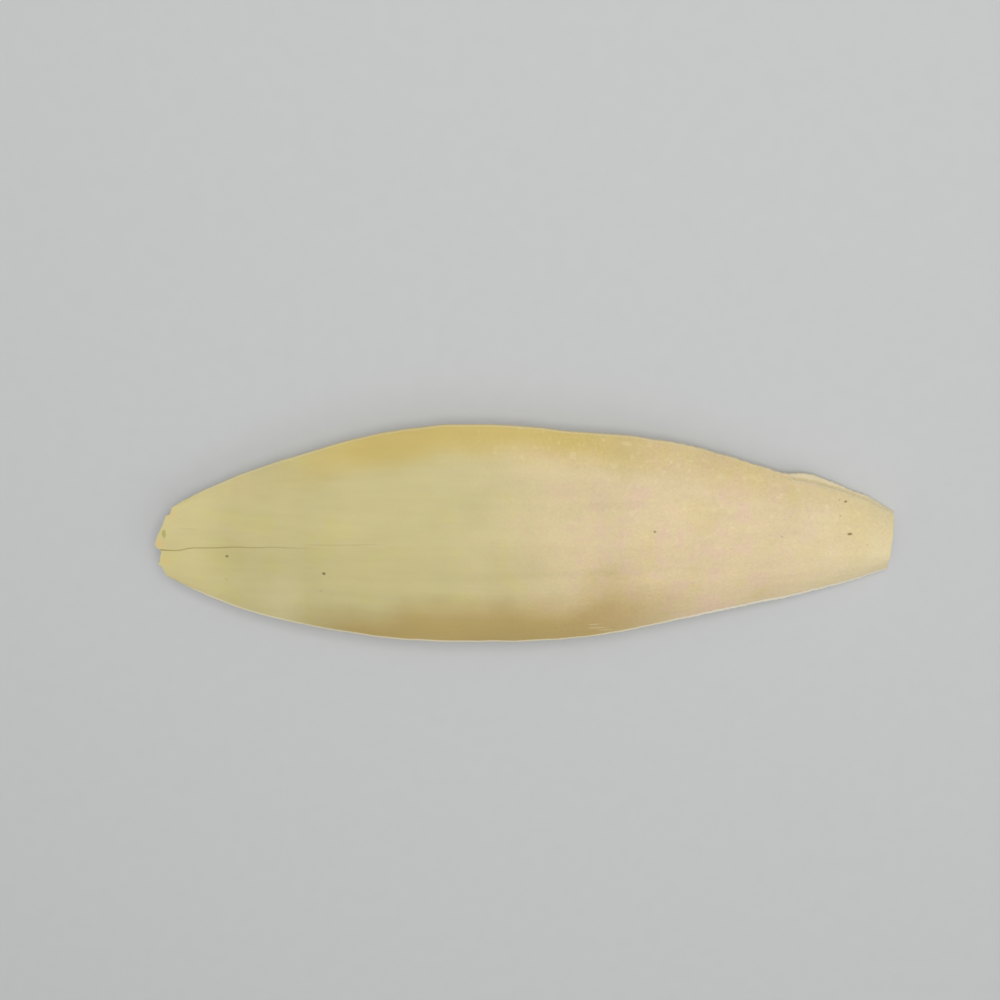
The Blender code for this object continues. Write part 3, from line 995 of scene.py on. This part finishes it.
class BackFinish:
    """The hard back's colour and relief, built up layer by layer over its places and noises."""

    def __init__(self, tree, settings, shift):
        place = tree.node("ShaderNodeTexCoord", output="Object")
        x_frame = tree.node("ShaderNodeSeparateXYZ", {}, {"Vector": place}, "X")
        self.tree = tree
        self.settings = settings
        self.place = place
        self.station = x_frame / MM - shift[0]
        self.y = x_frame.output("Y") / MM - shift[1]
        self.from_middle = tree.value("from_middle")
        self.from_edge = tree.value("from_edge")
        self.blotches = tree.noise(place, BLOTCH_LUMP)
        self.mottle = tree.noise(place, MOTTLE_LUMP)
        self.grain = tree.noise(place, GRAIN_LUMP, FINE_DETAIL, GRAIN_SHARPNESS)
        self.dust = tree.noise(place, DUST_LUMP, PLAIN_DETAIL)
        self.streaks = tree.noise(tree.stretched(place, STREAK_STRETCH), STREAK_LUMP)
        self.rear = tree.smooth(self.station + (self.blotches - 0.5) * REAR_RAGGEDNESS, *REAR_SPAN)
        self.left = tree.smooth(self.from_middle, *LEFT_SPAN)
        self.rear_right = tree.smooth(self.station, *REAR_RIGHT_SPAN) * (1 - self.left)
        pores = tree.smooth(tree.cells(place, PORE_SPACING), *PORE_SIDES)
        self.pores = pores * tree.smooth(self.blotches, *PORE_CLUSTERS) * self.rear

    def front_to_rear(self, ends):
        """A strength that goes from its first value on the smooth front to its second on the rear."""
        return ends[0] + self.rear * (ends[1] - ends[0])

    def patched(self, colour, patches, patch_colour, noise_value, core):
        """A colour with oval patches of another colour, each as strong as its list says."""
        ragged = (noise_value - 0.5) * SPOT_RAGGEDNESS
        amount = 0
        for station, aside, half_length, half_width, strength in patches:
            half_size = (half_length, half_width)
            patch = self.tree.spot(self.station, self.y, ragged, (station, aside), half_size, core)
            amount = amount + patch * strength
        return self.tree.mix(amount, colour, patch_colour)

    def ground(self):
        """The colour under all marks: olive front, peach rear, pink and golden mottling, a paler end."""
        tree = self.tree
        colour = tree.mix(self.rear, self.settings.front_colour, self.settings.rear_colour)
        pink = tree.smooth(self.mottle, *PINK_SPAN) * self.front_to_rear(PINK_STRENGTHS)
        colour = tree.mix(pink, colour, tree.mix(self.rear, PINK_FRONT, PINK_REAR))
        golden = tree.smooth(tree.noise(self.place, GOLD_LUMP), *GOLD_SPAN) * GOLD_STRENGTH
        colour = tree.mix(golden, colour, tree.mix(self.rear, GOLD_FRONT, GOLD_REAR))
        end = tree.smooth(self.station, *END_SPAN) * END_STRENGTH
        return tree.mix(end, colour, self.settings.end_colour)

    def margins(self, colour):
        """The warm bands along the edges, partly their own tint and partly painted shade: amber on the left,
        tan on the right.
        """
        tree = self.tree
        uneven_edge = self.from_edge + (self.blotches - 0.5) * MARGIN_RAGGEDNESS
        amber = tree.smooth(uneven_edge, *AMBER_REACH) * tree.smooth(self.station, *AMBER_RISE) * self.left
        strength = AMBER_AND_SHADE_STRENGTH
        for span, loss in AMBER_LOSSES:
            strength = strength - tree.smooth(self.station, *span) * loss
        # Amber darkens the left margin: part its own tint, part painted shade.
        colour = tree.mix(amber * strength, colour, self.settings.amber_and_shade_colour)
        reach = TAN_REACH + tree.smooth(self.station, *TAN_WIDENING_SPAN) * TAN_WIDENING
        tan = tree.smooth(uneven_edge, reach, reach - TAN_REACH) * (1 - self.left)
        tan = tan * tree.smooth(self.station, *TAN_RISE) * tree.smooth(self.station, *TAN_FALL)
        # Tan darkens the right margin: part its own tint, part painted shade along the lower edge.
        return tree.mix(tan * TAN_AND_SHADE_STRENGTH, colour, self.settings.tan_and_shade_colour)

    def marks(self, colour):
        """Soft patches, warts, growth streaks, tints, stains and pores."""
        tree = self.tree
        colour = self.patched(colour, GOLDEN_PATCHES, GOLDEN_PATCH, self.mottle, SOFT_CORE)
        colour = self.patched(colour, PALE_PATCHES, PALE_PATCH, self.mottle, SOFT_CORE)
        colour = self.patched(colour, ROSY_PATCHES, ROSY_PATCH, self.mottle, SOFT_CORE)
        colour = self.patched(colour, OLIVE_PATCHES, OLIVE_PATCH, self.mottle, SOFT_CORE)
        # The tan patch is partly a painted cast shadow.
        colour = self.patched(colour, TAN_AND_SHADOW_PATCHES, self.settings.tan_and_shade_colour, self.mottle, SOFT_CORE)
        warts = tree.smooth(tree.noise(self.place, WART_LUMP, PLAIN_DETAIL), *WART_SPAN)
        warts = warts * self.rear * self.left
        colour = tree.mix(warts * WART_STRENGTH, colour, WART)
        colour = self.patched(colour, GROWTH_STREAKS, self.settings.rim_colour, self.mottle, SPECK_CORE)
        colour = self.patched(colour, WARM_TINTS, WARM_TINT, self.mottle, SOFT_CORE)
        colour = self.patched(colour, STAINS, STAIN, self.grain, SPECK_CORE)
        return tree.mix(self.pores * PORE_STRENGTH, colour, PORE)

    def edges(self, colour):
        """The flaked ledge with painted shade along its inner side below the shield's step, the shield's edge
        above it, and the pale rim, partly a painted highlight.
        """
        tree = self.tree
        from_step = tree.value("from_step")
        strip = tree.smooth(from_step, *STRIP_SPAN)
        colour = tree.mix(strip * STRIP_STRENGTH, colour, self.settings.rim_colour)
        # Painted shade: the ledge's inner band beside the shield's step is darkened with tan.
        layer = tree.smooth(from_step, *LEDGE_SHADE_SPAN) * strip
        colour = tree.mix(layer * LEDGE_SHADE_STRENGTH, colour, self.settings.tan_and_shade_colour)
        shield_edge = tree.smooth(from_step, *SHIELD_EDGE_SPAN) * (1 - strip)
        # The pale rim: partly the edge's own pale chalk, partly a painted highlight of the edge catching the
        # light.
        from_rim = self.from_edge + self.left * RIM_NARROWING_LEFT - self.rear_right * RIM_WIDENING_REAR
        rim = tree.smooth(from_rim, *RIM_SPAN) * (RIM_AND_HIGHLIGHT_STRENGTH - self.left * RIM_LOSS_LEFT)
        rim_colour = tree.mix(self.rear_right, self.settings.rim_colour, REAR_RIM_AND_HIGHLIGHT)
        return tree.mix(shield_edge * SHIELD_EDGE_STRENGTH + rim, colour, rim_colour)

    def shade(self):
        """How much brighter or darker than its colour each point is."""
        shade = 1 + (self.blotches - 0.5) * BLOTCH_SHADE + (self.streaks - 0.5) * STREAK_SHADE
        shade = shade + self.tree.smooth(self.station, *TIP_SPAN) * TIP_SHADE
        # Painted light: the rear of the right side is brightened to lift its shade.
        shade = shade + self.rear_right * REAR_RIGHT_PAINTED_LIGHT
        shade = shade + (self.grain - 0.5) * self.front_to_rear(GRAIN_SHADES)
        return shade + (self.dust - 0.5) * self.front_to_rear(DUST_SHADES)

    def crack(self):
        """Where the crack shows, and the faint line that goes on beside its end."""
        tree = self.tree
        crack = tree.smooth(abs(self.from_middle), *CRACK_SIDES) * tree.smooth(self.station, *CRACK_FALL)
        crack = crack * (CRACK_STRENGTH + tree.smooth(self.station, *NOTCH_SPAN) * NOTCH_GAIN)
        faint = tree.smooth(abs(self.from_middle - FAINT_LINE_ASIDE), *FAINT_LINE_SIDES)
        faint = faint * tree.smooth(self.station, *FAINT_LINE_RISE)
        faint = faint * tree.smooth(self.station, *FAINT_LINE_FALL)
        return crack + faint * FAINT_LINE_STRENGTH

    def colour(self):
        """The back's whole colour."""
        colour = self.edges(self.marks(self.margins(self.ground())))
        colour = self.tree.brightened(colour, self.shade())
        colour = self.tree.mix(self.crack(), colour, self.settings.crack_colour)
        colour = self.patched(colour, FRONT_SPECKS, self.settings.speck_colour, self.grain, SPECK_CORE)
        return self.patched(colour, REAR_SPECKS, self.settings.rust_colour, self.grain, SPECK_CORE)

    def relief(self):
        """The height of the back's fine relief, in millimetres."""
        relief = (self.grain - 0.5) * self.front_to_rear(GRAIN_RELIEFS)
        relief = relief + (self.dust - 0.5) * self.front_to_rear(DUST_RELIEFS)
        return relief + (self.streaks - 0.5) * STREAK_RELIEF - self.pores * PORE_DEPTH

    def roughness(self):
        """The back is glossier on its smooth front than on its rear."""
        return self.front_to_rear(BACK_ROUGHNESSES) + (self.mottle - 0.5) * MOTTLE_ROUGHNESS


def back_material(settings, shift):
    """The hard back: smooth and olive in front, granular and peach behind, with warm margins."""
    material, tree, shader = new_material("hard_back")
    back = BackFinish(tree, settings, shift)
    normal = tree.bumped(BACK_BUMP, back.relief())
    finish = {"Base Color": back.colour(), "Roughness": back.roughness(), "Normal": normal}
    tree.fill(shader, finish | BONE_SHADER)
    return material


def chalk_material(settings):
    """The chalky body: growth lines under it, thin layers where it broke, and the hard rim's underside."""
    material, tree, shader = new_material("chalky_body")
    place = tree.node("ShaderNodeTexCoord", output="Object")
    growth = tree.value("growth")
    lined = tree.value("lined")
    flange = 1 - tree.value("on_body")
    depth = tree.value("depth")
    blotches = tree.noise(place, CHALK_BLOTCH_LUMP)
    powder = tree.noise(place, POWDER_LUMP, FINE_DETAIL, POWDER_SHARPNESS)
    dust = tree.noise(place, CHALK_DUST_LUMP, PLAIN_DETAIL)
    broken = tree.smooth(depth, *BREAK_SPAN) * tree.smooth(lined, *UNLINED_SPAN)

    colour = tree.mix(blotches, settings.chalk_colour, CREAM_CHALK)
    # Painted shade in the growth lines' grooves, with a slightly yellower tint.
    lines = tree.smooth(growth.fraction(), *LINE_GROOVE_SPAN) * LINE_GROOVE_SHADE
    steps = tree.smooth((growth / LINES_PER_STEP).fraction(), *STEP_GROOVE_SPAN) * STEP_GROOVE_SHADE
    colour = tree.mix((lines + steps) * lined, colour, GROOVE_SHADE_AND_TINT)
    shield = tree.smooth(depth, *SHIELD_SPAN) * broken
    colour = tree.mix(shield * SHIELD_STRENGTH, colour, SHIELD_SECTION)
    colour = tree.mix(flange * FLANGE_STRENGTH, colour, FLANGE_UNDERSIDE)
    shade = 1 + (powder - 0.5) * POWDER_SHADE + (dust - 0.5) * CHALK_DUST_SHADE
    colour = tree.brightened(colour, shade)

    warped_depth = depth + (powder - 0.5) * LAYER_WARP
    layer = abs((warped_depth / LAYER_SPACING).fraction() - 0.5) * 2
    relief = (powder - 0.5) * POWDER_RELIEF + (dust - 0.5) * CHALK_DUST_RELIEF
    normal = tree.bumped(CHALK_BUMP, relief + layer * broken * LAYER_RELIEF)
    finish = {"Base Color": colour, "Roughness": CHALK_ROUGHNESS - flange * FLANGE_GLOSS, "Normal": normal}
    tree.fill(shader, finish | BONE_SHADER)
    return material


class CUTTLEBONE_OT_shell(bpy.types.Operator):
    """Makes the whole bone: its hard back, its rim, its chalky belly and its two broken ends"""

    bl_idname = "cuttlebone.make_shell"
    bl_label = "Make Bone"

    def execute(self, context):
        settings = context.scene.bone_settings
        mesh, shift = shell_mesh(settings.growth_steps, settings.nick_depth / MM)
        holder = bpy.data.objects.new("bone_holder", mesh)
        context.collection.objects.link(holder)
        sizes = {
            "Step height": settings.step_height,
            "Line height": settings.line_height,
            "Granule height": settings.granule_height,
            "Granule size": settings.granule_size,
            "Streak height": settings.streak_height,
            "Seed": RELIEF_SEED,
        }
        group = relief_tree(sizes, back_material(settings, shift), chalk_material(settings))
        modifier = holder.modifiers.new("bone_relief", "NODES")
        modifier.node_group = group
        for item in group.interface.items_tree:
            if item.in_out == "INPUT" and item.name in sizes:
                modifier[item.identifier] = sizes[item.name]
        piece = plain_copy(holder, "cuttlebone_shell")
        piece.data.set_sharp_from_angle(angle=SHARP_ANGLE)
        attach(piece, BONE_BODY)
        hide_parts(BONE_NODE)
        return {"FINISHED"}


def soft_light(name, place, size, power):
    """A square area light that faces the bone."""
    light = bpy.data.lights.new(name, "AREA")
    light.size = size
    light.energy = power
    lamp = bpy.data.objects.new(name, light)
    lamp.location = place
    lamp.rotation_euler = Vector(place).to_track_quat("Z", "Y").to_euler()
    bpy.context.collection.objects.link(lamp)


def photo_camera():
    """The camera at the photo's viewing angle."""
    data = bpy.data.cameras.new("photo_camera")
    data.lens = LENS_MM
    data.sensor_width = SENSOR_MM
    data.clip_start = CLIP_START
    camera = bpy.data.objects.new("photo_camera", data)
    right = Vector((1, 0, 0))
    back = Vector((0, math.sin(CAMERA_LEAN), math.cos(CAMERA_LEAN)))
    turn = Matrix((right, back.cross(right), back)).transposed().to_4x4()
    place = (Vector(CAMERA_AIM) + CAMERA_DISTANCE * back) * MM
    camera.matrix_world = Matrix.Translation(place) @ turn
    bpy.context.collection.objects.link(camera)
    return camera


def floor_material(colour):
    """Plain pale card with a very faint grain."""
    material, tree, shader = new_material("pale_floor")
    place = tree.node("ShaderNodeTexCoord", output="Object")
    grain = tree.noise(place, FLOOR_GRAIN_LUMP, FINE_DETAIL)
    lighter = [FLOOR_GRAIN_GAIN * part for part in colour]
    tree.fill(shader, {"Base Color": tree.mix(grain, colour, lighter), "Roughness": FLOOR_ROUGHNESS})
    return material


class CUTTLEBONE_OT_stage(bpy.types.Operator):
    """Makes the floor, the soft lights and the camera"""

    bl_idname = "cuttlebone.make_stage"
    bl_label = "Make Stage"

    def execute(self, context):
        settings = context.scene.stage_settings
        half = FLOOR_HALF_SIZE
        below = -FLOOR_DROP
        corners = [(-half, -half, below), (half, -half, below), (half, half, below), (-half, half, below)]
        mesh = bpy.data.meshes.new("floor")
        mesh.from_pydata(corners, [], [(0, 1, 2, 3)])
        mesh.materials.append(floor_material(settings.floor_colour))
        floor = bpy.data.objects.new("floor", mesh)
        context.collection.objects.link(floor)
        soft_light("key", KEY_PLACE, KEY_SIZE, settings.key_power)
        soft_light("fill", FILL_PLACE, FILL_SIZE, settings.fill_power)
        world = bpy.data.worlds.new("even_light")
        world.use_nodes = True
        background = world.node_tree.nodes["Background"]
        background.inputs["Color"].default_value = (1, 1, 1, 1)
        background.inputs["Strength"].default_value = settings.sky_strength
        context.scene.world = world
        context.scene.view_settings.view_transform = "Standard"
        context.scene.camera = photo_camera()
        return {"FINISHED"}


class CUTTLEBONE_PT_panel(bpy.types.Panel):
    """The bone's sizes and colours, and the buttons that make it"""

    bl_label = "Cuttlebone"
    bl_space_type = "VIEW_3D"
    bl_region_type = "UI"
    bl_category = "Cuttlebone"

    def draw(self, context):
        for settings, operator in (
            (context.scene.bone_settings, CUTTLEBONE_OT_shell),
            (context.scene.stage_settings, CUTTLEBONE_OT_stage),
        ):
            box = self.layout.box()
            for name in settings.__annotations__:
                box.prop(settings, name)
            box.operator(operator.bl_idname)


CLASSES = (BoneSettings, StageSettings, CUTTLEBONE_OT_shell, CUTTLEBONE_OT_stage, CUTTLEBONE_PT_panel)


def register():
    for each in CLASSES:
        bpy.utils.register_class(each)
    bpy.types.Scene.bone_settings = PointerProperty(type=BoneSettings)
    bpy.types.Scene.stage_settings = PointerProperty(type=StageSettings)


def unregister():
    del bpy.types.Scene.stage_settings
    del bpy.types.Scene.bone_settings
    for each in reversed(CLASSES):
        bpy.utils.unregister_class(each)


def main():
    register()
    bpy.ops.cuttlebone.make_shell()
    bpy.ops.cuttlebone.make_stage()


if __name__ == "__main__":
    main()
